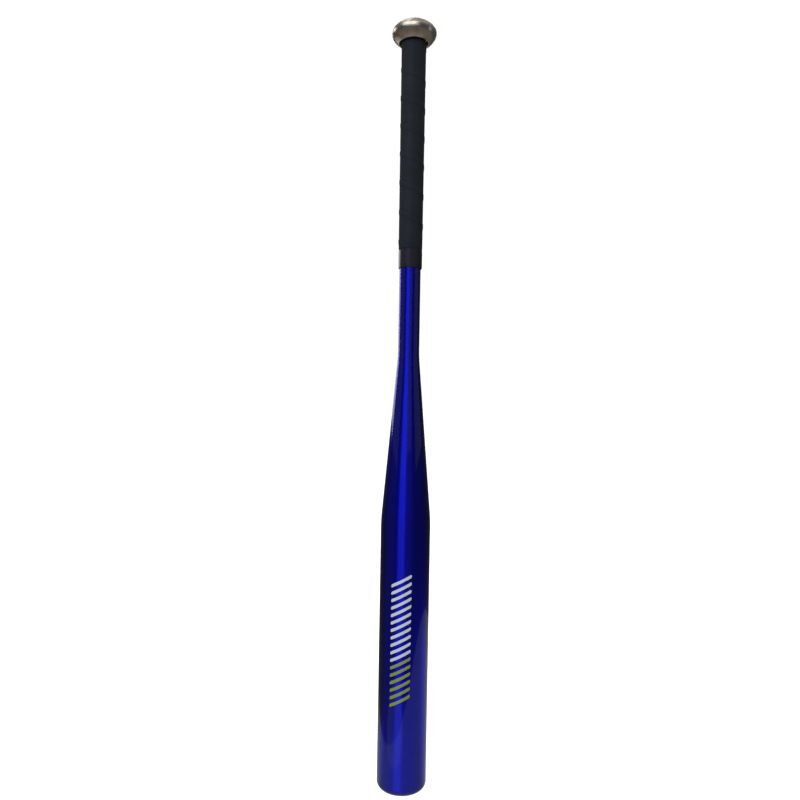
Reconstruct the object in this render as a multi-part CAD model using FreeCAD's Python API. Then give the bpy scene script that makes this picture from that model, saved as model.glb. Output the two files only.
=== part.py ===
"""Adult baseball bat, 34 inches long: a one-piece swaged aluminium tube with a welded knob and a wrapped grip.

The bat stands on its barrel end. The axis of the bat is +Z, the end face lies on z = 0 and the knob is at
the top. The front of the bat, which carries the printed bars, faces -Y. Lengths are in millimetres.
"""

import FreeCAD, Part
import math
import os

# Overall sizes
LENGTH = 864.0
BARREL_R = 27.9
HANDLE_R = 12.0

# Tube: wall thickness grows as the tube is swaged down from barrel to handle
BARREL_WALL = 2.2
HANDLE_WALL = 2.6
END_WALL = 3.2
END_CORNER_R = 8.3
BARREL_TOP_Z = 302.0
HANDLE_START_Z = 486.0
SWAGE_BLEND_R = 200.0
TUBE_TOP_Z = 858.0

# Hole left by spinning the end closed, and the rubber plug that seals it
PLUG_HOLE_R = 6.0
PLUG_HEAD_R = 9.0
PLUG_HEAD_THICKNESS = 0.9
PLUG_SEAT_DEPTH = 1.4
PLUG_SEAT_GAP = 0.3
PLUG_BARB_R = 7.4
PLUG_NOSE_R = 4.6
PLUG_NOSE_Z = 9.0

# Foam disc pressed against the inside of the end
FOAM_R = BARREL_R - BARREL_WALL - 0.1
FOAM_START_Z = 9.6
FOAM_THICKNESS = 25.0

# Knob: a bun with a flat turned on top. Its upper and lower halves are arcs of ellipses that meet at
# the widest ring, and a rolled lip surrounds the recess underneath, higher inside than outside.
KNOB_R = 25.7
KNOB_FLAT_R = 9.0
KNOB_TOP_HEIGHT = 13.5
KNOB_SKIRT_HEIGHT = 16.5
KNOB_LIP_OUTER_R = 17.7
KNOB_LIP_INNER_R = 15.3
KNOB_LIP_RISE = 2.0
KNOB_LIP_BULGE = 0.7
KNOB_RECESS_TOP_Z = 846.0
KNOB_CORE_TOP_Z = 860.0
KNOB_CROWN_ANGLE = math.acos(KNOB_FLAT_R / KNOB_R)
KNOB_MID_Z = LENGTH - KNOB_TOP_HEIGHT * math.sin(KNOB_CROWN_ANGLE)
WELD_LEG = 2.6

# Grip: a thin adhesive underlay, the wrapped tape and the vinyl tape that finishes its lower end
UNDERLAY_THICKNESS = 0.3
UNDERLAY_R = HANDLE_R + UNDERLAY_THICKNESS
UNDERLAY_BOTTOM_Z = 590.0
GRIP_BOTTOM_Z = 589.0
GRIP_TOP_Z = 842.0
GRIP_TOP_R = 14.2
GRIP_BOTTOM_R = 13.7
GRIP_TUCKED_R = 13.0
GRIP_FLARE_R = 14.8
GRIP_FLARE_HEIGHT = 10.0
FINISH_BOTTOM_Z = 584.6
FINISH_TOP_Z = 606.0
FINISH_R = 13.5

# Printed bars: two colours of slanted bars up the front of the barrel
FILM_THICKNESS = 0.06
BAR_START_Z = 99.0
BAR_PITCH = 8.2
LIME_BARS = 6
WHITE_BARS = 11
BAR_LEFT_X = -14.6
BAR_RIGHT_X = 7.6
BAR_HEIGHT = 3.6
BAR_SLANT = 12.0

ORIGIN = FreeCAD.Vector(0, 0, 0)
AXIS = FreeCAD.Vector(0, 0, 1)


def at(r, z):
    """Point of a profile: radius from the axis and height."""
    return FreeCAD.Vector(r, 0, z)


def line(start, end):
    return Part.LineSegment(start, end).toShape()


def corner(before, tip, after, radius):
    """Start, middle and end of the arc of this radius that rounds a corner."""
    back = (before - tip).normalize()
    ahead = (after - tip).normalize()
    half_angle = back.getAngle(ahead) / 2
    reach = radius / math.tan(half_angle)
    bisector = (back + ahead).normalize()
    middle = tip + bisector * (radius / math.sin(half_angle) - radius)
    return tip + back * reach, middle, tip + ahead * reach


def profile(corners):
    """Closed wire through (r, z, rounding radius) corners; a radius of 0 leaves a corner sharp."""
    points = [at(r, z) for r, z, _ in corners]
    rounded = []
    for i, (_, _, radius) in enumerate(corners):
        before = points[i - 1]
        after = points[(i + 1) % len(points)]
        if radius > 0:
            rounded.append(corner(before, points[i], after, radius))
        else:
            rounded.append((points[i], None, points[i]))
    edges = []
    for i, (start, middle, end) in enumerate(rounded):
        if middle is not None:
            edges.append(Part.Arc(start, middle, end).toShape())
        edges.append(line(end, rounded[(i + 1) % len(rounded)][0]))
    return Part.Wire(edges)


def turned(wire):
    """Solid of revolution of a closed profile about the bat's axis."""
    return Part.Face(wire).revolve(ORIGIN, AXIS, 360)


def bat_tube():
    """One-piece tube: flat spun-in end, straight barrel, long taper and straight handle."""
    inner_barrel = BARREL_R - BARREL_WALL
    inner_handle = HANDLE_R - HANDLE_WALL
    return turned(profile([
        (PLUG_HEAD_R + PLUG_SEAT_GAP, 0, 0.4),
        (BARREL_R, 0, END_CORNER_R),
        (BARREL_R, BARREL_TOP_Z, SWAGE_BLEND_R),
        (HANDLE_R, HANDLE_START_Z, SWAGE_BLEND_R),
        (HANDLE_R, TUBE_TOP_Z, 0),
        (inner_handle, TUBE_TOP_Z, 0),
        (inner_handle, HANDLE_START_Z, SWAGE_BLEND_R),
        (inner_barrel, BARREL_TOP_Z, SWAGE_BLEND_R),
        (inner_barrel, END_WALL, END_CORNER_R - BARREL_WALL),
        (PLUG_HOLE_R, END_WALL, 0),
        (PLUG_HOLE_R, PLUG_SEAT_DEPTH, 0),
        (PLUG_HEAD_R + PLUG_SEAT_GAP, PLUG_SEAT_DEPTH, 0),
    ]))


def end_plug():
    """Rubber push-in plug: a head sunk in its seat, a neck in the hole and a barb behind the wall."""
    head_face_z = PLUG_SEAT_DEPTH - PLUG_HEAD_THICKNESS
    return turned(profile([
        (0, head_face_z, 0),
        (PLUG_HEAD_R, head_face_z, 0.3),
        (PLUG_HEAD_R, PLUG_SEAT_DEPTH, 0),
        (PLUG_HOLE_R, PLUG_SEAT_DEPTH, 0),
        (PLUG_HOLE_R, END_WALL, 0),
        (PLUG_BARB_R, END_WALL, 0),
        (PLUG_NOSE_R, PLUG_NOSE_Z, 1.0),
        (0, PLUG_NOSE_Z, 0),
    ]))


def end_foam():
    """Plain foam disc inside the barrel, next to the end wall."""
    return turned(profile([
        (0, FOAM_START_Z, 0),
        (FOAM_R, FOAM_START_Z, 1.5),
        (FOAM_R, FOAM_START_Z + FOAM_THICKNESS, 1.5),
        (0, FOAM_START_Z + FOAM_THICKNESS, 0),
    ]))


def knob_arc(height, end_angle):
    """Edge from the knob's widest ring, up (height > 0) or down, through end_angle of the ellipse."""
    middle = at(0, KNOB_MID_Z)
    ellipse = Part.Ellipse(at(KNOB_R, KNOB_MID_Z), at(0, KNOB_MID_Z + height), middle)
    return Part.ArcOfEllipse(ellipse, 0, end_angle).toShape()


def knob():
    """Cast bun-shaped knob with a socket for the tube and a recess that hides the weld."""
    skirt_angle = math.acos(KNOB_LIP_OUTER_R / KNOB_R)
    lip_z = KNOB_MID_Z - KNOB_SKIRT_HEIGHT * math.sin(skirt_angle)
    lip_start = at(KNOB_LIP_OUTER_R, lip_z)
    lip_end = at(KNOB_LIP_INNER_R, lip_z + KNOB_LIP_RISE)
    outward = (lip_end - lip_start).cross(FreeCAD.Vector(0, 1, 0)).normalize()
    lip_middle = (lip_start + lip_end) * 0.5 + outward * KNOB_LIP_BULGE
    core_r = HANDLE_R - HANDLE_WALL
    inside = [
        lip_end,
        at(KNOB_LIP_INNER_R, KNOB_RECESS_TOP_Z),
        at(HANDLE_R, KNOB_RECESS_TOP_Z),
        at(HANDLE_R, TUBE_TOP_Z),
        at(core_r, TUBE_TOP_Z),
        at(core_r, KNOB_CORE_TOP_Z),
        at(0, KNOB_CORE_TOP_Z),
        at(0, LENGTH),
        at(KNOB_FLAT_R, LENGTH),
    ]
    edges = [
        knob_arc(KNOB_TOP_HEIGHT, KNOB_CROWN_ANGLE),
        knob_arc(-KNOB_SKIRT_HEIGHT, skirt_angle),
        Part.Arc(lip_start, lip_middle, lip_end).toShape(),
    ]
    edges += [line(start, end) for start, end in zip(inside, inside[1:])]
    return turned(Part.Wire(Part.__sortEdges__(edges)))


def knob_weld():
    """Fillet weld between the handle and the ceiling of the knob's recess."""
    top = at(HANDLE_R + WELD_LEG, KNOB_RECESS_TOP_Z)
    root = at(HANDLE_R, KNOB_RECESS_TOP_Z)
    foot = at(HANDLE_R, KNOB_RECESS_TOP_Z - WELD_LEG)
    bulge = at(HANDLE_R + WELD_LEG * 0.62, KNOB_RECESS_TOP_Z - WELD_LEG * 0.62)
    return turned(Part.Wire([line(top, root), line(root, foot), Part.Arc(foot, bulge, top).toShape()]))


def grip_underlay():
    """Double-sided adhesive layer between the handle and the grip tape."""
    return turned(profile([
        (HANDLE_R, UNDERLAY_BOTTOM_Z, 0),
        (UNDERLAY_R, UNDERLAY_BOTTOM_Z, 0),
        (UNDERLAY_R, GRIP_TOP_Z, 0),
        (HANDLE_R, GRIP_TOP_Z, 0),
    ]))


def grip_tape():
    """Sleeve with the outer shape of the wrapped tape: it swells into the knob's recess at the top."""
    flare_start_z = GRIP_TOP_Z - GRIP_FLARE_HEIGHT
    return turned(profile([
        (UNDERLAY_R, GRIP_BOTTOM_Z, 0),
        (GRIP_TUCKED_R, GRIP_BOTTOM_Z, 0),
        (GRIP_TUCKED_R, FINISH_TOP_Z, 0),
        (GRIP_BOTTOM_R, FINISH_TOP_Z, 0),
        (GRIP_TOP_R, flare_start_z, 8.0),
        (GRIP_FLARE_R, GRIP_TOP_Z, 0.6),
        (UNDERLAY_R, GRIP_TOP_Z, 0),
    ]))


def finishing_tape():
    """Vinyl tape wound over the grip's lower end and turned in on to the bare handle below it."""
    return turned(profile([
        (HANDLE_R, FINISH_BOTTOM_Z, 0),
        (FINISH_R, FINISH_BOTTOM_Z, 0.4),
        (FINISH_R, FINISH_TOP_Z, 0.2),
        (GRIP_TUCKED_R, FINISH_TOP_Z, 0),
        (GRIP_TUCKED_R, GRIP_BOTTOM_Z, 0),
        (HANDLE_R, GRIP_BOTTOM_Z, 0),
    ]))


def slanted_bars(first, count):
    """Thin printed bars on the front of the barrel, counted upwards from the lowest one."""
    film = Part.makeCylinder(BARREL_R + FILM_THICKNESS, BARREL_TOP_Z, ORIGIN, AXIS)
    film = film.cut(Part.makeCylinder(BARREL_R, BARREL_TOP_Z, ORIGIN, AXIS))
    bars = []
    for i in range(first, first + count):
        z = BAR_START_Z + i * BAR_PITCH
        outline = [
            (BAR_LEFT_X, z),
            (BAR_RIGHT_X, z + BAR_SLANT),
            (BAR_RIGHT_X, z + BAR_SLANT + BAR_HEIGHT),
            (BAR_LEFT_X, z + BAR_HEIGHT),
        ]
        points = [FreeCAD.Vector(x, -BARREL_R - 1, height) for x, height in outline]
        face = Part.Face(Part.makePolygon(points + points[:1]))
        bars.append(film.common(face.extrude(FreeCAD.Vector(0, BARREL_R, 0))))
    return Part.makeCompound(bars)


def main():
    os.makedirs("parts", exist_ok=True)
    nodes = {
        "bat_tube": bat_tube(),
        "end_plug": end_plug(),
        "end_foam": end_foam(),
        "knob": knob(),
        "knob_weld": knob_weld(),
        "grip_underlay": grip_underlay(),
        "grip_tape": grip_tape(),
        "finishing_tape": finishing_tape(),
        "barrel_bars_lime": slanted_bars(0, LIME_BARS),
        "barrel_bars_white": slanted_bars(LIME_BARS, WHITE_BARS),
    }
    for name, shape in nodes.items():
        shape.exportStep(f"parts/{name}.step")
        print(f"{name}: {len(shape.Solids)} solids, {shape.Volume / 1000:.2f} cm3, valid {shape.isValid()}")


main()
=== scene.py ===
"""Looks of the baseball bat: glossy blue tube, bare knob, wound grip, finishing tape and printed bars.

Lengths are in metres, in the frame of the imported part: the bat stands on its barrel end at z = 0, its
axis is +Z, and the side with the printed bars faces -Y.
"""

import math

import bpy
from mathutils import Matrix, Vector, noise

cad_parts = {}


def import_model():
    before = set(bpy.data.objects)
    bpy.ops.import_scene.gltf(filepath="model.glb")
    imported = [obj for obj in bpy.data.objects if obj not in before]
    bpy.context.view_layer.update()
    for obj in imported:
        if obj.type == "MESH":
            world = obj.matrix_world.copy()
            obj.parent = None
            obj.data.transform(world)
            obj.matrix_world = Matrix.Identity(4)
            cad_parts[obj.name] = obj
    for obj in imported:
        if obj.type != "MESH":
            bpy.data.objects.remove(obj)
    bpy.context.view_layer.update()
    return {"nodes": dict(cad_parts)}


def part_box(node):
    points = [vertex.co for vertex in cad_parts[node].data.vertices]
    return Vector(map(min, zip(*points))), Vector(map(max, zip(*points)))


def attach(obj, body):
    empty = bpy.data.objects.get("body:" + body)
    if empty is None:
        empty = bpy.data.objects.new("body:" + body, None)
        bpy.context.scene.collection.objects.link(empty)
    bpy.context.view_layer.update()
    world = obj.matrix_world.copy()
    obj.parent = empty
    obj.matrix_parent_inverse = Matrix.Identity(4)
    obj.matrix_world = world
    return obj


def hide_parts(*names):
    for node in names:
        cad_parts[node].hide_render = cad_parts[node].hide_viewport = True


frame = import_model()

MM = 0.001
RING = 192  # faces round a turned piece
BODY = "root"


# ---------------------------------------------------------------- sizes read from the frame

def span(node):
    """Largest radius, lowest z and highest z of a CAD node."""
    low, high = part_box(node)
    return high.x, low.z, high.z


BARREL_R, _, TUBE_TOP = span("bat_tube")
KNOB_R, _, LENGTH = span("knob")
GRIP_FLARE_R, GRIP_LOW, GRIP_TOP = span("grip_tape")
FINISH_R, FINISH_LOW, FINISH_TOP = span("finishing_tape")
PLUG_R, PLUG_FACE, PLUG_NOSE = span("end_plug")
FOAM_R, FOAM_LOW, FOAM_HIGH = span("end_foam")
WELD_R, WELD_LOW, WELD_TOP = span("knob_weld")
UNDERLAY_R, _, _ = span("grip_underlay")

# Sizes of the design that no box shows.
HANDLE_R = 12.0 * MM
BARREL_TOP = 302 * MM
HANDLE_START = 486 * MM
END_CORNER_R = 8.3 * MM
SWAGE_BLEND_R = 200 * MM
END_WALL = 3.2 * MM
BARREL_WALL = 2.2 * MM
HANDLE_WALL = 2.6 * MM
PLUG_SEAT_DEPTH = 1.4 * MM
PLUG_SEAT_GAP = 0.3 * MM
PLUG_HOLE_R = 6.0 * MM
PLUG_BARB_R = 7.4 * MM
PLUG_NOSE_R = 4.6 * MM


# ---------------------------------------------------------------- mesh helpers

def rounded(corners, steps=8):
    """Points of an outline through (r, z, rounding radius) corners; the first and last stay sharp."""
    points = []
    for i, (r, z, radius) in enumerate(corners):
        tip = Vector((r, z))
        if radius <= 0 or i in (0, len(corners) - 1):
            points.append((r, z))
            continue
        back = (Vector(corners[i - 1][:2]) - tip).normalized()
        ahead = (Vector(corners[i + 1][:2]) - tip).normalized()
        half = back.angle(ahead) / 2
        start = tip + back * radius / math.tan(half)
        end = tip + ahead * radius / math.tan(half)
        centre = tip + (back + ahead).normalized() * radius / math.sin(half)
        for k in range(steps + 1):
            chord = (start.lerp(end, k / steps) - centre).normalized()
            points.append(tuple(centre + chord * radius))
    return points


def subdivided(points, longest):
    """The same outline with its long straight stretches cut into equal steps."""
    out = [points[0]]
    for (r0, z0), (r1, z1) in zip(points, points[1:]):
        count = max(1, math.ceil(math.hypot(r1 - r0, z1 - z0) / longest))
        out += [(r0 + (r1 - r0) * k / count, z0 + (z1 - z0) * k / count) for k in range(1, count + 1)]
    return out


def new_mesh(name, vertices, faces, sharp_degrees=40):
    """Smooth-shaded object with its creases kept sharp."""
    mesh = bpy.data.meshes.new(name)
    mesh.from_pydata(vertices, [], faces)
    mesh.validate()
    mesh.polygons.foreach_set("use_smooth", [True] * len(mesh.polygons))
    mesh.set_sharp_from_angle(angle=math.radians(sharp_degrees))
    piece = bpy.data.objects.new(name, mesh)
    bpy.context.scene.collection.objects.link(piece)
    return piece


def bridge(low, high):
    """Faces between two rings of vertex numbers; either ring may be a single point."""
    count = max(len(low), len(high))
    faces = []
    for i in range(count):
        j = (i + 1) % count
        if len(low) == 1:
            faces.append((low[0], high[j], high[i]))
        elif len(high) == 1:
            faces.append((low[i], low[j], high[0]))
        else:
            faces.append((low[i], low[j], high[j], high[i]))
    return faces


def lathe(name, outline, closed, ring=RING, offset=None, sharp_degrees=40):
    """Turned mesh. A closed outline joins its last point to its first; an open one ends on the axis.

    offset(angle, r, z) gives a small change of (r, z).
    """
    vertices = []
    rows = []
    for r, z in outline:
        if r < 1e-7:
            rows.append([len(vertices)])
            vertices.append((0, 0, z))
            continue
        row = []
        for i in range(ring):
            angle = 2 * math.pi * i / ring
            dr, dz = offset(angle, r, z) if offset else (0, 0)
            row.append(len(vertices))
            vertices.append(((r + dr) * math.cos(angle), (r + dr) * math.sin(angle), z + dz))
        rows.append(row)
    pairs = list(zip(rows, rows[1:]))
    if closed:
        pairs.append((rows[-1], rows[0]))
    faces = []
    for low, high in pairs:
        faces += bridge(low, high)
    return new_mesh(name, vertices, faces, sharp_degrees)


def finish_piece(piece, material, slot, *nodes):
    """Gives a piece its material, and puts it on the body in place of its CAD nodes."""
    piece.data.materials.clear()
    piece.data.materials.append(material)
    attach(piece, BODY)
    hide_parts(*nodes)
    return piece


def ease(x, low, high):
    """Smooth step from 0 at low to 1 at high."""
    t = min(1, max(0, (x - low) / (high - low)))
    return t * t * (3 - 2 * t)


# ---------------------------------------------------------------- material helpers

class Nodes:
    """Small builder for one node material around its Principled shader."""

    def __init__(self, name):
        self.material = bpy.data.materials.new(name)
        self.material.use_nodes = True
        self.tree = self.material.node_tree
        self.shader = self.tree.nodes["Principled BSDF"]
        self.place = self.add("ShaderNodeTexCoord").outputs["Object"]

    def add(self, kind, **settings):
        """New node of this kind with its settings."""
        node = self.tree.nodes.new(kind)
        for key, value in settings.items():
            setattr(node, key, value)
        return node

    def link(self, value, socket):
        """Gives a socket another node's output, or a plain value of its own."""
        if isinstance(value, bpy.types.NodeSocket):
            self.tree.links.new(value, socket)
        else:
            socket.default_value = value

    def set(self, **values):
        """Sets inputs of the Principled shader, with _ for each space in a name."""
        for key, value in values.items():
            self.link(value, self.shader.inputs[key.replace("_", " ")])

    def stretched(self, scale):
        """Object coordinates scaled on each axis, so that a pattern is finer along one of them."""
        node = self.add("ShaderNodeMapping")
        self.link(self.place, node.inputs["Vector"])
        node.inputs["Scale"].default_value = scale
        return node.outputs[0]

    def noise(self, scale, detail=3.0, roughness=0.5, vector=None):
        """Cloudy pattern round 0.5."""
        node = self.add("ShaderNodeTexNoise")
        self.link(vector or self.place, node.inputs["Vector"])
        node.inputs["Scale"].default_value = scale
        node.inputs["Detail"].default_value = detail
        node.inputs["Roughness"].default_value = roughness
        return node.outputs["Fac"]

    def cells(self, scale, feature="F1", output="Distance"):
        """Pattern of small cells."""
        node = self.add("ShaderNodeTexVoronoi", feature=feature)
        self.link(self.place, node.inputs["Vector"])
        node.inputs["Scale"].default_value = scale
        return node.outputs[output]

    def remap(self, value, low, high, to_low, to_high):
        """Stretches low to high onto to_low to to_high, clamped."""
        node = self.add("ShaderNodeMapRange")
        for item, socket in zip((value, low, high, to_low, to_high), node.inputs):
            self.link(item, socket)
        return node.outputs[0]

    def mix(self, factor, a, b):
        """Colour between a, at factor 0, and b, at factor 1."""
        node = self.add("ShaderNodeMix", data_type="RGBA")
        self.link(factor, node.inputs["Factor"])
        colour_a, colour_b = (socket for socket in node.inputs if socket.type == "RGBA")
        self.link(a, colour_a)
        self.link(b, colour_b)
        return next(socket for socket in node.outputs if socket.type == "RGBA")

    def bump(self, height, distance, strength, normal=None):
        """Normal moved by a height pattern, distance metres deep, on top of another bump if given."""
        node = self.add("ShaderNodeBump")
        node.inputs["Strength"].default_value = strength
        node.inputs["Distance"].default_value = distance
        self.link(height, node.inputs["Height"])
        if normal is not None:
            self.link(normal, node.inputs["Normal"])
        return node.outputs[0]


def blue_finish():
    """Clear blue over brushed metal under a gloss coat, with painted shade: the colour turns darker
    where the surface faces away from the viewer.
    """
    n = Nodes("blue_tube")
    lines = n.noise(260, 3, 0.6, n.stretched((0.35, 0.35, 9)))
    cloud = n.noise(14, 2)
    flakes = n.cells(2600, output="Color")
    deep = n.mix(cloud, (0.0032, 0.006, 0.74, 1), (0.0045, 0.008, 0.84, 1))
    polished = n.mix(n.remap(lines, 0.3, 0.7, 0, 0.35), deep, (0.0024, 0.0045, 0.6, 1))
    # Painted shade: the base colour goes dark blue where the surface faces away from the viewer.
    painted_edge_shade = n.add("ShaderNodeLayerWeight").outputs["Facing"]
    n.set(
        Base_Color=n.mix(n.remap(painted_edge_shade, 0.08, 0.65, 0, 0.8), polished, (0.002, 0.003, 0.12, 1)),
        Specular_Tint=(0.05, 0.05, 0.3, 1),
        Metallic=1.0,
        Roughness=n.remap(lines, 0.3, 0.7, 0.28, 0.36),
        Coat_Weight=1.0,
        Coat_Roughness=0.05,
        Coat_IOR=1.34,
    )
    grain = n.bump(lines, 0.02 * MM, 0.35)
    sparkle = n.add("ShaderNodeSeparateColor")
    n.link(flakes, sparkle.inputs[0])
    n.set(
        Normal=n.bump(sparkle.outputs[0], 0.012 * MM, 0.3, grain),
        Coat_Normal=n.bump(n.noise(420, 2), 0.012 * MM, 0.25),
    )
    return n.material


def knob_metal():
    """Bare polished aluminium with turning lines, a warm tarnish and small nicks."""
    n = Nodes("knob_metal")
    lines = n.noise(420, 3, 0.65, n.stretched((0.25, 0.25, 7)))
    tarnish = n.noise(55, 4, 0.6)
    nicks = n.cells(330)
    clean = n.mix(n.remap(lines, 0.3, 0.7, 0, 0.5), (0.74, 0.70, 0.65, 1), (0.60, 0.55, 0.49, 1))
    n.set(
        Base_Color=n.mix(n.remap(tarnish, 0.42, 0.68, 0, 0.75), clean, (0.34, 0.27, 0.21, 1)),
        Metallic=1.0,
        Roughness=n.remap(tarnish, 0.3, 0.75, 0.2, 0.36),
        Normal=n.bump(nicks, 0.03 * MM, 0.12, n.bump(lines, 0.03 * MM, 0.5)),
    )
    return n.material


def weld_metal():
    """Grey weld metal with heat marks."""
    n = Nodes("weld_metal")
    heat = n.noise(240, 3)
    n.set(
        Base_Color=n.mix(heat, (0.55, 0.55, 0.55, 1), (0.34, 0.31, 0.28, 1)),
        Metallic=1.0,
        Roughness=n.remap(heat, 0.3, 0.7, 0.35, 0.55),
        Normal=n.bump(n.noise(900, 3), 0.08 * MM, 0.5),
    )
    return n.material


def grip_leather():
    """Matte black synthetic leather: pebbled grain, fine pores and slightly polished high spots."""
    n = Nodes("grip_leather")
    pebbles = n.cells(1150, feature="SMOOTH_F1")
    pores = n.noise(2600, 3, 0.7)
    wear = n.noise(60, 3)
    n.set(
        Base_Color=n.mix(wear, (0.0112, 0.015, 0.0195, 1), (0.0165, 0.0212, 0.0265, 1)),
        Roughness=n.remap(wear, 0.3, 0.7, 0.66, 0.52),
        Specular_IOR_Level=0.3,
        Sheen_Weight=0.04,
        Sheen_Roughness=0.4,
        Normal=n.bump(pores, 0.06 * MM, 0.35, n.bump(pebbles, 0.16 * MM, 0.45)),
    )
    return n.material


def vinyl_tape():
    """Glossy black PVC tape, a little wavy where it is stretched round the grip."""
    n = Nodes("vinyl_tape")
    wave = n.noise(90, 2, 0.5, n.stretched((1, 1, 0.6)))
    dust = n.noise(1500, 2)
    n.set(
        Base_Color=n.mix(dust, (0.013, 0.014, 0.022, 1), (0.019, 0.02, 0.03, 1)),
        Roughness=n.remap(dust, 0.35, 0.7, 0.24, 0.34),
        Specular_IOR_Level=0.3,
        Normal=n.bump(dust, 0.03 * MM, 0.2, n.bump(wave, 1.2 * MM, 0.3)),
    )
    return n.material


def print_ink(name, colour, worn):
    """Gloss print film with a little mottle and pinholes of wear."""
    n = Nodes(name)
    mottle = n.noise(500, 3)
    wear = n.remap(n.noise(900, 4, 0.7), 0.68, 0.74, 0, 0.5)
    shade = tuple(c * 0.9 for c in colour[:3]) + (1,)
    n.set(
        Base_Color=n.mix(wear, n.mix(mottle, colour, shade), worn),
        Roughness=n.remap(mottle, 0.3, 0.7, 0.22, 0.34),
        Coat_Weight=0.6,
        Coat_Roughness=0.06,
        Normal=n.bump(mottle, 0.02 * MM, 0.2),
    )
    return n.material


def plug_rubber():
    """Matte black rubber with a pale bloom."""
    n = Nodes("plug_rubber")
    bloom = n.noise(160, 4, 0.6)
    n.set(
        Base_Color=n.mix(bloom, (0.012, 0.012, 0.013, 1), (0.032, 0.032, 0.033, 1)),
        Roughness=n.remap(bloom, 0.3, 0.7, 0.55, 0.8),
        Normal=n.bump(n.noise(1800, 2), 0.06 * MM, 0.4),
    )
    return n.material


def damper_foam():
    """Pale open-celled foam."""
    n = Nodes("damper_foam")
    cells = n.cells(900)
    n.set(
        Base_Color=n.mix(cells, (0.5, 0.46, 0.36, 1), (0.82, 0.79, 0.68, 1)),
        Roughness=0.95,
        Normal=n.bump(cells, 0.6 * MM, 0.8),
    )
    return n.material


def adhesive_film():
    """Cream double-sided tape with a faint weave."""
    n = Nodes("adhesive_film")
    weave = n.noise(1400, 2, 0.5, n.stretched((1, 1, 4)))
    n.set(
        Base_Color=n.mix(weave, (0.62, 0.58, 0.46, 1), (0.8, 0.77, 0.66, 1)),
        Roughness=n.remap(weave, 0.3, 0.7, 0.45, 0.65),
        Normal=n.bump(weave, 0.05 * MM, 0.4),
    )
    return n.material


# ---------------------------------------------------------------- pieces

def bat_tube():
    """Tube with its real walls: spun end with a seat for the plug, barrel, taper and handle."""
    seat_r = PLUG_R + PLUG_SEAT_GAP
    inner_barrel = BARREL_R - BARREL_WALL
    inner_handle = HANDLE_R - HANDLE_WALL
    outline = rounded([
        (seat_r, PLUG_SEAT_DEPTH, 0),
        (seat_r, 0, 0.4 * MM),
        (BARREL_R, 0, END_CORNER_R),
        (BARREL_R, BARREL_TOP, SWAGE_BLEND_R),
        (HANDLE_R, HANDLE_START, SWAGE_BLEND_R),
        (HANDLE_R, TUBE_TOP, 0),
        (inner_handle, TUBE_TOP, 0),
        (inner_handle, HANDLE_START, SWAGE_BLEND_R),
        (inner_barrel, BARREL_TOP, SWAGE_BLEND_R),
        (inner_barrel, END_WALL, END_CORNER_R - BARREL_WALL),
        (PLUG_HOLE_R, END_WALL, 0),
        (PLUG_HOLE_R, PLUG_SEAT_DEPTH, 0),
    ], steps=14)
    piece = lathe("tube", subdivided(outline, 12 * MM), True)
    return finish_piece(piece, blue_finish(), "blue_tube", "bat_tube")


def end_plug():
    """Rubber plug with a raised rim, a dished face and a moulding nub in the middle."""
    nub_z = PLUG_FACE + 0.15 * MM
    dish_z = PLUG_FACE + 0.5 * MM
    nub_r = 0.9 * MM
    dish_r = 5.6 * MM
    outline = rounded([
        (0, nub_z, 0),
        (nub_r, nub_z, 0.2 * MM),
        (nub_r + 0.2 * MM, dish_z, 0.15 * MM),
        (dish_r, dish_z, 0.3 * MM),
        (dish_r + 0.6 * MM, PLUG_FACE, 0.25 * MM),
        (PLUG_R, PLUG_FACE, 0.35 * MM),
        (PLUG_R, PLUG_SEAT_DEPTH, 0.05 * MM),
        (PLUG_HOLE_R, PLUG_SEAT_DEPTH, 0),
        (PLUG_HOLE_R, END_WALL, 0),
        (PLUG_BARB_R, END_WALL, 0.2 * MM),
        (PLUG_NOSE_R, PLUG_NOSE, 1.0 * MM),
        (0, PLUG_NOSE, 0),
    ], steps=5)
    piece = lathe("plug", outline, False, ring=128)
    return finish_piece(piece, plug_rubber(), "plug_rubber", "end_plug")


def end_foam():
    """Foam disc whose cut faces are open-celled and a little uneven."""
    lump = 2.5 * MM
    height = 0.25 * MM
    depth = 0.3 * MM
    edge = 1.5 * MM
    middle = (FOAM_LOW + FOAM_HIGH) / 2

    def rough(angle, r, z):
        point = Vector((r * math.cos(angle), r * math.sin(angle), z)) / lump
        lift = noise.noise(point) * height
        inward = -abs(noise.noise(point + Vector((9, 9, 9)))) * depth
        return inward, -lift if z > middle else lift

    outline = rounded([
        (0, FOAM_LOW + depth, 0),
        (FOAM_R, FOAM_LOW + depth, edge),
        (FOAM_R, FOAM_HIGH - depth, edge),
        (0, FOAM_HIGH - depth, 0),
    ], steps=4)
    piece = lathe("foam", subdivided(outline, 2 * MM), False, ring=96, offset=rough)
    return finish_piece(piece, damper_foam(), "damper_foam", "end_foam")


KNOB_FLAT_R = 9.0 * MM
KNOB_TOP_HEIGHT = 13.5 * MM
KNOB_SKIRT_HEIGHT = 16.5 * MM
KNOB_LIP_OUTER_R = 17.7 * MM
KNOB_LIP_INNER_R = 15.3 * MM
KNOB_LIP_WIDTH = 1.1 * MM
KNOB_LIP_DROP = 0.15 * MM
KNOB_LIP_RISE = 2.0 * MM
KNOB_RING_R = 7.8 * MM
KNOB_RING_DEPTH = 0.22 * MM
KNOB_RECESS_TOP = 846 * MM
KNOB_CORE_TOP = 860 * MM


def ellipse_arc(middle_z, height, start, end, steps=28):
    """Points of the knob's outline, on an ellipse of half-width KNOB_R, between two angles."""
    points = []
    for k in range(steps + 1):
        angle = start + (end - start) * k / steps
        points.append((KNOB_R * math.cos(angle), middle_z + height * math.sin(angle)))
    return points


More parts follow.
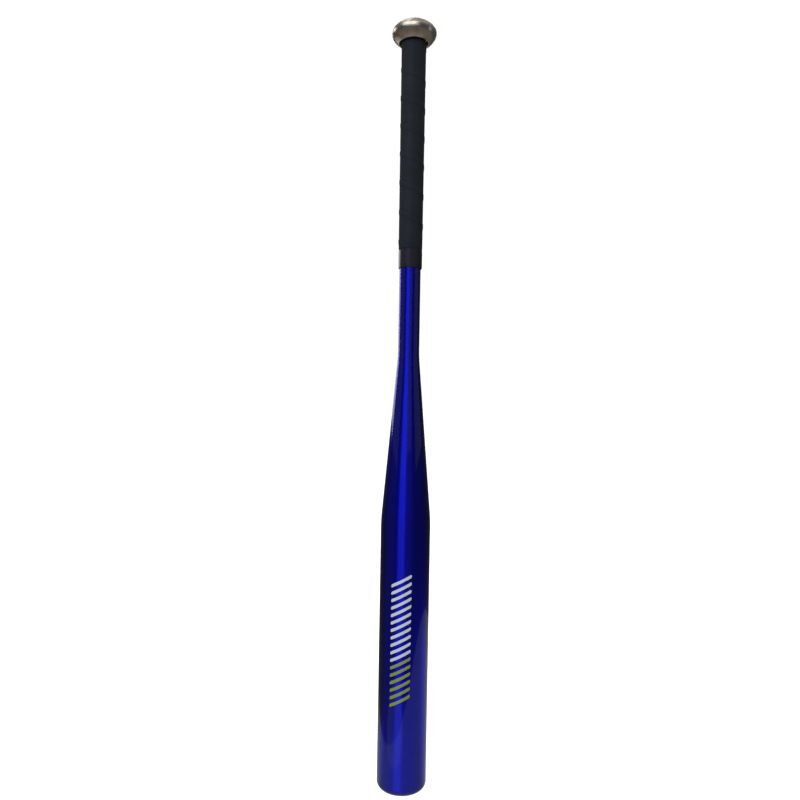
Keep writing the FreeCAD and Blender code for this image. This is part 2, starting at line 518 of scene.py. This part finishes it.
def knob():
    """Bun-shaped knob: flat top with a dimple and a ring groove, rolled lip and recess underneath."""
    crown = math.acos(KNOB_FLAT_R / KNOB_R)
    skirt = math.acos(KNOB_LIP_OUTER_R / KNOB_R)
    middle = LENGTH - KNOB_TOP_HEIGHT * math.sin(crown)
    lip_z = middle - KNOB_SKIRT_HEIGHT * math.sin(skirt)
    core_r = HANDLE_R - HANDLE_WALL
    dimple_r = 1.3 * MM
    dimple_z = LENGTH - 0.35 * MM
    face_z = LENGTH - 0.02 * MM
    ring_half = 0.4 * MM
    outline = rounded([
        (0, dimple_z, 0),
        (dimple_r, dimple_z, 0.3 * MM),
        (dimple_r + 0.9 * MM, face_z, 0.4 * MM),
        (KNOB_RING_R - ring_half, face_z, 0.2 * MM),
        (KNOB_RING_R, LENGTH - KNOB_RING_DEPTH, 0.15 * MM),
        (KNOB_RING_R + ring_half, face_z, 0.2 * MM),
        (KNOB_FLAT_R, LENGTH, 0),
    ], steps=4)
    outline += ellipse_arc(middle, KNOB_TOP_HEIGHT, crown, 0)[1:]
    outline += ellipse_arc(middle, -KNOB_SKIRT_HEIGHT, 0, skirt)[1:]
    outline += rounded([
        (KNOB_LIP_OUTER_R, lip_z, 0),
        (KNOB_LIP_OUTER_R - KNOB_LIP_WIDTH, lip_z - KNOB_LIP_DROP, 0.8 * MM),
        (KNOB_LIP_INNER_R, lip_z + KNOB_LIP_RISE, 0),
    ], steps=6)[1:]
    outline += [
        (KNOB_LIP_INNER_R, KNOB_RECESS_TOP),
        (HANDLE_R, KNOB_RECESS_TOP),
        (HANDLE_R, TUBE_TOP),
        (core_r, TUBE_TOP),
        (core_r, KNOB_CORE_TOP),
        (0, KNOB_CORE_TOP),
    ]
    piece = lathe("knob_turned", outline, False, sharp_degrees=50)
    return finish_piece(piece, knob_metal(), "knob_metal", "knob")


def knob_weld():
    """Weld bead laid in short overlapping ripples."""
    ripples = 46
    faces_per_ripple = 8
    seat = 0.2 * MM
    depth = 0.112 * MM

    def ripple(angle, r, z):
        if r < HANDLE_R + seat or z > WELD_TOP - seat:
            return 0, 0
        wave = abs(math.sin(angle * ripples / 2)) * depth
        return -wave, wave

    reach = (WELD_TOP - WELD_LOW) * 0.92
    arc_steps = 8
    outline = [(HANDLE_R, WELD_LOW)]
    for k in range(1, arc_steps):
        angle = math.pi / 2 * k / arc_steps
        outline.append((HANDLE_R + reach * math.sin(angle), WELD_TOP - reach * math.cos(angle)))
    outline += [(WELD_R, WELD_TOP), (HANDLE_R, WELD_TOP)]
    piece = lathe("weld_bead", outline, True, ring=ripples * faces_per_ripple, offset=ripple)
    return finish_piece(piece, weld_metal(), "weld_metal", "knob_weld")


# The grip is wound from the knob down. Turn 0 is at the middle of the front, with the tape's upper edge
# at about FIRST_SEAM. The plain face of the tape lies GRIP_STEP inside grip_radius, and its covered
# margin as much again. At a seam it stands GRIP_LAP out from the plain face.
FIRST_SEAM = 804 * MM
SEAM_PITCH = 30.2 * MM
PITCH_GROWTH = 0.37 * MM
STEEP_PITCH = 48.2 * MM
STEEP_BY = -0.4
FIRST_TURN = -2.0
LAST_TURN = 7.0
COLUMNS_PER_TURN = 120
GRIP_OVERLAP = 5.6 * MM
GRIP_STEP = 0.34 * MM
GRIP_LAP = 0.42 * MM
GRIP_CROWN = 0.07 * MM
GRIP_RIPPLE = 0.045 * MM
GRIP_EDGE_WANDER = 0.45 * MM
GRIP_TOP_GAP = 0.3 * MM
GRIP_LOW_GAP = 0.2 * MM
GRIP_NARROWEST = 0.4 * MM
GRIP_TUCKED_R = 13.0 * MM
GRIP_UPPER_R = 14.2 * MM
GRIP_LOWER_R = 13.7 * MM


def seam_height(turns):
    """Height of the tape's upper edge after this many turns, steeper where it leaves the knob."""
    if turns >= 0:
        return FIRST_SEAM - SEAM_PITCH * turns - PITCH_GROWTH * turns ** 2
    if turns >= STEEP_BY:
        steeper = (STEEP_PITCH - SEAM_PITCH) * turns ** 2 / (-2 * STEEP_BY)
        return FIRST_SEAM - SEAM_PITCH * turns + steeper
    return seam_height(STEEP_BY) - STEEP_PITCH * (turns - STEEP_BY)


def grip_radius(z, angle):
    """Outer radius of the wound grip at a height; it is bunched up under the knob, most on the left."""
    flare_height = 10 * MM
    tuck_half = 1.5 * MM
    tuck_gap = 0.15 * MM
    along = (z - FINISH_TOP) / (GRIP_TOP - flare_height - FINISH_TOP)
    radius = GRIP_LOWER_R + (GRIP_UPPER_R - GRIP_LOWER_R) * min(1, max(0, along))
    bunch = 0.1 - 0.75 * math.cos(angle)
    flare_top = GRIP_TOP - 2 * MM
    radius += (GRIP_FLARE_R - GRIP_UPPER_R) * bunch * ease(z, flare_top - flare_height, flare_top)
    tuck = 1 - ease(z, FINISH_TOP - tuck_half, FINISH_TOP + tuck_half)
    return radius - (GRIP_LOWER_R - GRIP_TUCKED_R + tuck_gap) * tuck


def grip_angle(turns):
    """Direction round the bat; turn 0 faces -Y."""
    return 2 * math.pi * turns - math.pi / 2


def grip_section(turns, per_side=26):
    """Points (r, z) round the tape's cross-section after this many turns, empty where it has run out."""
    angle = grip_angle(turns)
    wander = noise.noise(Vector((turns * 2.3, 4.1, 0))) * GRIP_EDGE_WANDER
    edge = seam_height(turns) + wander
    width = seam_height(turns) - seam_height(turns + 1) + GRIP_OVERLAP
    near = max(0.0, edge - GRIP_TOP + GRIP_TOP_GAP)
    far = min(width, edge - GRIP_LOW - GRIP_LOW_GAP)
    if far - near < GRIP_NARROWEST:
        return []
    groove = width - GRIP_OVERLAP + 0.1 * MM
    outside = []
    inside = []
    for k in range(per_side + 1):
        share = k / per_side
        # Distance down from the upper edge, in steps that are finer near it.
        down = near + (far - near) * (share + share ** 2) / 2
        z = edge - down
        base = grip_radius(z, angle) - GRIP_STEP
        lap = GRIP_LAP * (1 - ease(down, GRIP_OVERLAP - 1.2 * MM, GRIP_OVERLAP + 1.6 * MM))
        lap *= ease(down, -0.3 * MM, 0.3 * MM)
        covered = GRIP_STEP * ease(down, groove - 1.0 * MM, groove)
        crown = GRIP_CROWN * math.sin(math.pi * min(1, down / width))
        ripple = noise.noise(Vector((turns * 9, down * 260, 1.7))) * GRIP_RIPPLE
        outside.append((base + lap - covered + crown + ripple, z))
        seated = ease(down, GRIP_OVERLAP - 1.0 * MM, GRIP_OVERLAP + 0.6 * MM)
        lapped_r = base - 0.06 * MM
        seated_r = UNDERLAY_R + 0.05 * MM
        inside.append((lapped_r * (1 - seated) + seated_r * seated, z))
    return outside + inside[::-1]


def grip_tape():
    """One long strip wound in a helix, each turn lapping over the lower margin of the one above."""
    steps = int((LAST_TURN - FIRST_TURN) * COLUMNS_PER_TURN)
    vertices = []
    columns = []
    for i in range(steps + 1):
        turns = FIRST_TURN + (LAST_TURN - FIRST_TURN) * i / steps
        angle = grip_angle(turns)
        section = grip_section(turns)
        if section:
            columns.append(range(len(vertices), len(vertices) + len(section)))
            vertices += [(r * math.cos(angle), r * math.sin(angle), z) for r, z in section]
    faces = []
    for left, right in zip(columns, columns[1:]):
        faces += bridge(left, right)
    faces.append(tuple(columns[0]))
    faces.append(tuple(reversed(columns[-1])))
    piece = new_mesh("grip_wrap", vertices, faces, 50)
    return finish_piece(piece, grip_leather(), "grip_leather", "grip_tape")


# Section of the vinyl band: how far up it, and how far out, which is -1 on the handle, 0 on the tucked
# end of the grip and 1 on the face of the band.
BAND_SECTION = (
    (0.0, -1), (0.0, -0.5), (0.0, 0.0), (0.02, 0.35), (0.05, 0.7), (0.09, 0.9), (0.16, 1.0),
    (0.3, 1.0), (0.45, 1.0), (0.6, 1.0), (0.75, 1.0), (0.9, 1.0), (0.975, 0.97), (1.0, 0.8),
    (1.0, 0.0),
)
BAND_INSET = 0.1 * MM
BAND_WAVE = 0.06 * MM


def band_edges(angle):
    """Heights of the band's lower and upper edge, each a little off level."""
    low = FINISH_LOW + (0.4 - 0.2 * math.cos(angle) + 0.1 * math.sin(angle)) * MM
    high = FINISH_TOP - (0.5 + 0.3 * math.cos(angle - 2.4)) * MM
    return low, high


def finishing_tape():
    """Vinyl tape over the end of the grip, with slightly uneven edges and rounded shoulders."""
    inner = GRIP_TUCKED_R - 0.02 * MM
    vertices = []
    rings = []
    for along, out in BAND_SECTION:
        rings.append(range(len(vertices), len(vertices) + RING))
        for i in range(RING):
            angle = 2 * math.pi * i / RING
            low, high = band_edges(angle)
            spot = Vector((math.cos(angle) * 3, math.sin(angle) * 3, along * 4))
            outer = FINISH_R - BAND_INSET + noise.noise(spot) * BAND_WAVE
            if out < 0:
                radius = inner + (inner - HANDLE_R) * out
            else:
                radius = inner + (outer - inner) * out
            z = low + (high - low) * along
            vertices.append((radius * math.cos(angle), radius * math.sin(angle), z))
    faces = []
    for low, high in zip(rings, rings[1:] + rings[:1]):
        faces += bridge(low, high)
    piece = new_mesh("vinyl_wrap", vertices, faces, 50)
    return finish_piece(piece, vinyl_tape(), "vinyl_tape", "finishing_tape")


BAR_PITCH = 8.2 * MM
BAR_HEIGHT = 3.6 * MM
BAR_SLANT = 12 * MM
BAR_END_R = BAR_HEIGHT * 0.35
BAR_ACROSS = 40  # faces along a bar
BAR_UP = 8  # faces across a bar
FILM = 0.06 * MM


def bar_face(vertices, left, right, base, radius):
    """Adds one face of a bar at this radius; gives its vertex numbers in columns, left to right."""
    scale = radius / BARREL_R
    columns = []
    for i in range(BAR_ACROSS + 1):
        share = i / BAR_ACROSS
        x = left + (right - left) * share
        inset = BAR_END_R - min(x - left, right - x, BAR_END_R)
        pinch = BAR_END_R - math.sqrt(max(0, BAR_END_R ** 2 - inset ** 2))
        y = -math.sqrt(radius ** 2 - (x * scale) ** 2)
        columns.append(range(len(vertices), len(vertices) + BAR_UP + 1))
        for j in range(BAR_UP + 1):
            z = base + BAR_SLANT * share + pinch + (BAR_HEIGHT - 2 * pinch) * j / BAR_UP
            vertices.append((x * scale, y, z))
    return columns


def printed_bars(name, node, material, slot):
    """Slanted print bars that lie on the barrel, each with rounded ends and a thin edge."""
    low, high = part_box(node)
    count = round((high.z - low.z - BAR_SLANT - BAR_HEIGHT) / BAR_PITCH) + 1
    vertices = []
    faces = []
    for bar in range(count):
        base = low.z + bar * BAR_PITCH
        top = bar_face(vertices, low.x, high.x, base, BARREL_R + FILM)
        bottom = bar_face(vertices, low.x, high.x, base, BARREL_R - FILM)
        for i in range(BAR_ACROSS):
            j = i + 1
            for k in range(BAR_UP):
                faces.append((top[i][k], top[j][k], top[j][k + 1], top[i][k + 1]))
                faces.append((bottom[i][k], bottom[i][k + 1], bottom[j][k + 1], bottom[j][k]))
            faces.append((top[i][0], bottom[i][0], bottom[j][0], top[j][0]))
            faces.append((top[i][-1], top[j][-1], bottom[j][-1], bottom[i][-1]))
        for k in range(BAR_UP):
            faces.append((top[0][k], top[0][k + 1], bottom[0][k + 1], bottom[0][k]))
            faces.append((top[-1][k], bottom[-1][k], bottom[-1][k + 1], top[-1][k + 1]))
    piece = new_mesh(name, vertices, faces, 50)
    return finish_piece(piece, material, slot, node)


def underlay():
    """The hidden adhesive layer keeps its CAD shape and gets its film material."""
    node = frame["nodes"]["grip_underlay"]
    node.data.materials.clear()
    node.data.materials.append(adhesive_film())


bat_tube()
end_plug()
end_foam()
knob()
knob_weld()
underlay()
grip_tape()
finishing_tape()
lime = print_ink("lime_print", (0.33, 0.41, 0.065, 1), (0.05, 0.07, 0.12, 1))
printed_bars("bars_lime", "barrel_bars_lime", lime, "lime_print")
white = print_ink("white_print", (0.83, 0.87, 1, 1), (0.2, 0.22, 0.45, 1))
printed_bars("bars_white", "barrel_bars_white", white, "white_print")


# ---------------------------------------------------------------- stage, light and camera

GLOSSY_PIECES = ("tube", "grip_wrap", "vinyl_wrap", "bars_lime", "bars_white")
WARM_WHITE = (1, 0.98, 0.95)


def area_light(name, place, aim, size, power, colour, shape="RECTANGLE"):
    """Soft light at place, turned to aim. power is its radiance, so its size doesn't dim it."""
    data = bpy.data.lights.new(name, "AREA")
    data.shape = shape
    data.size = size[0]
    if shape == "RECTANGLE":
        data.size_y = size[1]
        area = size[0] * size[1]
    else:
        area = math.pi * size[0] ** 2 / 4
    data.energy = power * area * math.pi
    data.color = colour
    light = bpy.data.objects.new(name, data)
    light.location = place
    light.rotation_euler = (Vector(aim) - Vector(place)).to_track_quat("-Z", "Y").to_euler()
    bpy.context.scene.collection.objects.link(light)
    light.visible_camera = False
    return light


def card(name, place, aim, size, power, colour, pieces, shape="RECTANGLE"):
    """Light that shows only as a reflection, and only on these pieces."""
    light = area_light(name, place, aim, size, power, colour, shape)
    light.visible_diffuse = False
    receivers = bpy.data.collections.new(name + "_on")
    for piece in pieces:
        receivers.objects.link(bpy.data.objects[piece])
    light.light_linking.receiver_collection = receivers
    return light


def side_cards():
    """Tall window behind the camera, dim walls, and a bright edge from behind the bat on the left."""
    for low, high, power in ((-1.7, -0.55, 0.42), (-0.55, 0.5, 0.58), (0.5, 2.6, 0.78)):
        height = (low + high) / 2
        place = (-0.74, -2.07, height)
        size = (1.2, high - low)
        colour = (0.38, 0.52, 1)
        card(f"window_{high:.1f}", place, (0, 0, height), size, power, colour, GLOSSY_PIECES)
    for name, place, size, power in (
        ("left_wall", (-2.2, -0.5, 0.43), (1.9, 4.4), 0.06),
        ("front_wall", (0.3, -2.2, 0.95), (1.9, 3.0), 0.07),
    ):
        card(name, place, (0, 0, place[2]), size, power, (0.7, 0.78, 1), GLOSSY_PIECES)
    card("edge_window", (-1.15, 1.25, 0.78), (0, 0, 0.78), (1.3, 0.65), 2.2, (0.97, 0.94, 1),
         ("tube", "vinyl_wrap"))
    card("tape_glint", (-1.3, 1.1, 0.92), (0, 0, 0.9), (1.3, 0.45), 0.9, WARM_WHITE,
         ("vinyl_wrap",))


def knob_cards():
    """Window, sky and room as the knob alone reflects them."""
    for name, place, size, power in (
        ("knob_window", (-0.8, -1.95, 2.08), (3.2, 1.75), 1.45),
        ("knob_window_sill", (-0.45, -2.1, 1.1), (2.6, 0.8), 0.55),
        ("knob_side", (-1.6, 0.65, 1.25), (0.6, 0.45), 2.2),
        ("knob_low_left", (-0.6, 1.0, 0.3), (0.9, 0.7), 0.6),
        ("knob_sky", (-0.3, 1.7, 1.95), (2.4, 1.5), 2.3),
        ("knob_top", (-0.6, 0.2, 2.7), (1.8, 0.9), 0.8),
        ("knob_right", (1.9, -0.2, 0.95), (0.5, 1.0), 0.3),
    ):
        card(name, place, (0, 0, 0.85), size, power, WARM_WHITE, ("knob_turned",))


def floor_cards():
    """Pale discs on the floor and blue edges for the tube, each just under the one before."""
    edge_blue = (0.1, 0.12, 0.78)
    for depth, (name, place, size, power, colour, shape) in enumerate((
        ("floor_card", (0.267, 0.127), (0.89, 0.89), 0.45, (0.85, 0.95, 0.4), "DISK"),
        ("floor_card_left", (-0.13, -0.2), (0.28, 0.28), 0.3, (0.85, 1, 0.15), "DISK"),
        ("floor_edge_right", (0.315, 0.16), (0.57, 0.32), 0.6, edge_blue, "RECTANGLE"),
        ("floor_edge_left", (-0.115, 0.05), (0.17, 0.1), 0.6, edge_blue, "RECTANGLE"),
    )):
        level = -(2 + depth) * MM
        light = card(name, (*place, level), (*place, 1), size, power, colour, ("tube",), shape)
        light.rotation_euler = (math.pi, 0, 0)


def haze_cards():
    """Faint yellow cards that lift the dark tones of the upper tube."""
    for name, place, size, power in (
        ("haze_front", (0.45, -2.15, 1.25), (1.3, 1.3), 0.24),
        ("haze_right", (2.2, -0.5, 1.15), (2.2, 1.3), 0.28),
        ("haze_left", (-2.25, -0.4, 1.15), (2.0, 1.3), 0.2),
    ):
        card(name, place, (0, 0, place[2]), size, power, (1, 1, 0.12), ("tube",))


def soft_lights():
    """Soft lights for the matte parts, which no piece reflects."""
    middle = (0, 0, 0.43)
    for name, place, aim, size, power, colour in (
        ("ceiling", (-0.1, 0.1, 2.3), (0, 0, 0.8), (1.5, 1.1), 2.6, (1, 1, 1)),
        ("soft_key", (-1.5, -1.9, 1.7), middle, (1.5, 1.6), 6.0, (0.9, 0.95, 1)),
        ("soft_fill", (1.7, -1.6, 0.9), middle, (1.4, 1.8), 1.7, (0.92, 0.96, 1)),
        ("soft_rim", (-2.0, 0.5, 0.8), middle, (1.0, 1.8), 1.6, (0.95, 0.98, 1)),
    ):
        light = area_light(name, place, aim, size, power, colour)
        light.visible_glossy = False


def world():
    """Pale for the camera, a dim studio with a lighter ceiling and a warm floor for everything else."""
    made = bpy.data.worlds.new("studio")
    bpy.context.scene.world = made
    made.use_nodes = True
    tree = made.node_tree
    tree.nodes.clear()
    out = tree.nodes.new("ShaderNodeOutputWorld")
    ray = tree.nodes.new("ShaderNodeLightPath")
    pale = tree.nodes.new("ShaderNodeBackground")
    pale.inputs["Color"].default_value = (1, 1, 1, 1)
    pale.inputs["Strength"].default_value = 1.05
    room = tree.nodes.new("ShaderNodeBackground")
    coords = tree.nodes.new("ShaderNodeTexCoord")
    split = tree.nodes.new("ShaderNodeSeparateXYZ")
    ramp = tree.nodes.new("ShaderNodeValToRGB")
    height = tree.nodes.new("ShaderNodeMapRange")
    height.inputs["From Min"].default_value = -1
    height.inputs["From Max"].default_value = 1
    tree.links.new(coords.outputs["Generated"], split.inputs[0])
    tree.links.new(split.outputs["Z"], height.inputs["Value"])
    tree.links.new(height.outputs[0], ramp.inputs["Fac"])
    # From straight down, at 0, to straight up, at 1.
    stops = [
        (0.0, (0.30, 0.26, 0.23)),
        (0.1, (0.15, 0.13, 0.11)),
        (0.3, (0.13, 0.115, 0.10)),
        (0.4, (0.068, 0.066, 0.070)),
        (0.6, (0.068, 0.066, 0.070)),
        (0.72, (0.15, 0.14, 0.13)),
        (0.84, (0.3, 0.28, 0.26)),
        (1.0, (0.4, 0.38, 0.36)),
    ]
    elements = ramp.color_ramp.elements
    elements[0].position, elements[0].color = stops[0][0], stops[0][1] + (1,)
    elements[1].position, elements[1].color = stops[-1][0], stops[-1][1] + (1,)
    for place, colour in stops[1:-1]:
        elements.new(place).color = colour + (1,)
    tree.links.new(ramp.outputs["Color"], room.inputs["Color"])
    mix = tree.nodes.new("ShaderNodeMixShader")
    tree.links.new(ray.outputs["Is Camera Ray"], mix.inputs["Fac"])
    tree.links.new(room.outputs[0], mix.inputs[1])
    tree.links.new(pale.outputs[0], mix.inputs[2])
    tree.links.new(mix.outputs[0], out.inputs["Surface"])


def floor():
    """White floor that shines for the camera and shows in nothing else."""
    mesh = bpy.data.meshes.new("floor")
    side = 30
    corners = [(-side, -side, 0), (side, -side, 0), (side, side, 0), (-side, side, 0)]
    mesh.from_pydata(corners, [], [(0, 1, 2, 3)])
    piece = bpy.data.objects.new("floor", mesh)
    bpy.context.scene.collection.objects.link(piece)
    n = Nodes("floor_white")
    n.set(
        Base_Color=n.mix(n.noise(3, 2), (0.86, 0.86, 0.87, 1), (0.9, 0.9, 0.9, 1)),
        Roughness=0.9,
        Emission_Color=(1, 1, 1, 1),
        Emission_Strength=1.0,
    )
    mesh.materials.append(n.material)
    piece.visible_glossy = False
    piece.visible_diffuse = False


def camera():
    """Level camera in front of the bat, a little to the left of it and rolled by a degree."""
    roll = -1.006
    data = bpy.data.cameras.new("camera")
    data.sensor_width = 36
    data.lens = 33.03
    eye = bpy.data.objects.new("camera", data)
    eye.location = (-8.8 * MM, -830.6 * MM, 436.6 * MM)
    eye.rotation_euler = (math.radians(90), math.radians(roll), 0)
    bpy.context.scene.collection.objects.link(eye)
    bpy.context.scene.camera = eye


world()
side_cards()
knob_cards()
floor_cards()
haze_cards()
soft_lights()
floor()
camera()
bpy.context.scene.view_settings.view_transform = "Standard"
